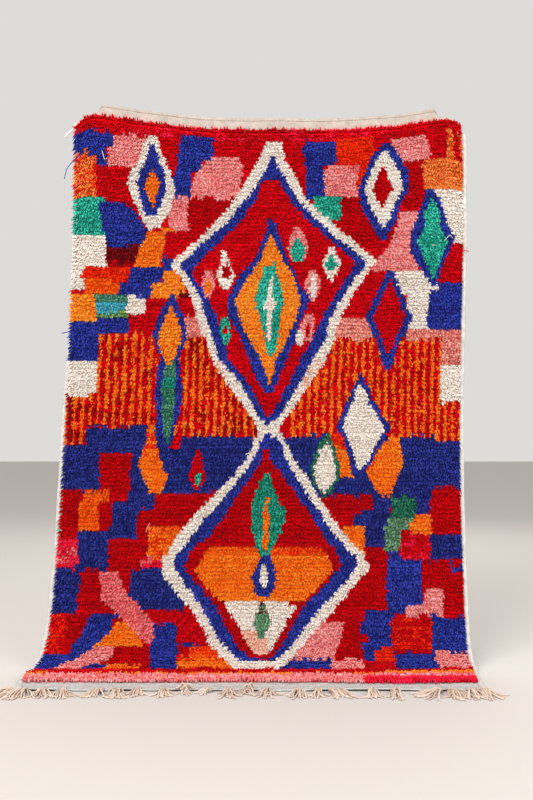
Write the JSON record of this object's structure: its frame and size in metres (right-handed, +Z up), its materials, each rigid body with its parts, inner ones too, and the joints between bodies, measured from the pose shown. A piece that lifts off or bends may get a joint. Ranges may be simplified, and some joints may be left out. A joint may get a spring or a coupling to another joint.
{
  "type": "boujaad rug",
  "caption": "Knotted wool pile rug with nested lozenges and colour blocks, held up by its top corners, its foot and warp tassels on the floor.",
  "frame": {"origin": "middle of the top edge, on the back of the cloth", "axes": "+Z up, -Y towards the pile's face, +X to the right as seen from the front"},
  "size_m": [1.4598, 0.6343, 1.8295],
  "materials": {
    "red_pile": "knotted wool pile, matt with a soft sheen",
    "dark_red_pile": "knotted wool pile, matt",
    "crimson_pile": "knotted wool pile, matt",
    "maroon_pile": "knotted wool pile, matt",
    "blue_pile": "knotted wool pile, matt",
    "cream_pile": "knotted undyed wool pile, matt",
    "pink_pile": "knotted wool pile, matt",
    "dusty_pink_pile": "knotted wool pile, matt",
    "peach_pile": "knotted wool pile, matt",
    "orange_pile": "knotted wool pile, matt",
    "burnt_orange_pile": "knotted wool pile, matt",
    "green_pile": "knotted wool pile, matt",
    "dark_green_pile": "knotted wool pile, matt",
    "sage_pile": "knotted wool pile, matt",
    "sky_pile": "knotted wool pile, matt",
    "ground_weave": "flat-woven wool and cotton ground, matt",
    "warp_yarn": "plied warp yarn, matt"
  },
  "bodies": {
    "root": {"rug": "red_pile", "tassel_01": "warp_yarn", "tassel_02": "warp_yarn", "tassel_03": "warp_yarn", "tassel_04": "warp_yarn", "tassel_05": "warp_yarn", "tassel_06": "warp_yarn", "tassel_07": "warp_yarn", "tassel_08": "warp_yarn", "tassel_09": "warp_yarn", "tassel_10": "warp_yarn", "tassel_11": "warp_yarn", "tassel_12": "warp_yarn", "tassel_13": "warp_yarn", "tassel_14": "warp_yarn", "tassel_15": "warp_yarn", "tassel_16": "warp_yarn", "tassel_17": "warp_yarn", "tassel_18": "warp_yarn", "tassel_19": "warp_yarn", "tassel_20": "warp_yarn", "tassel_21": "warp_yarn", "tassel_22": "warp_yarn"}
  },
  "joints": []
}
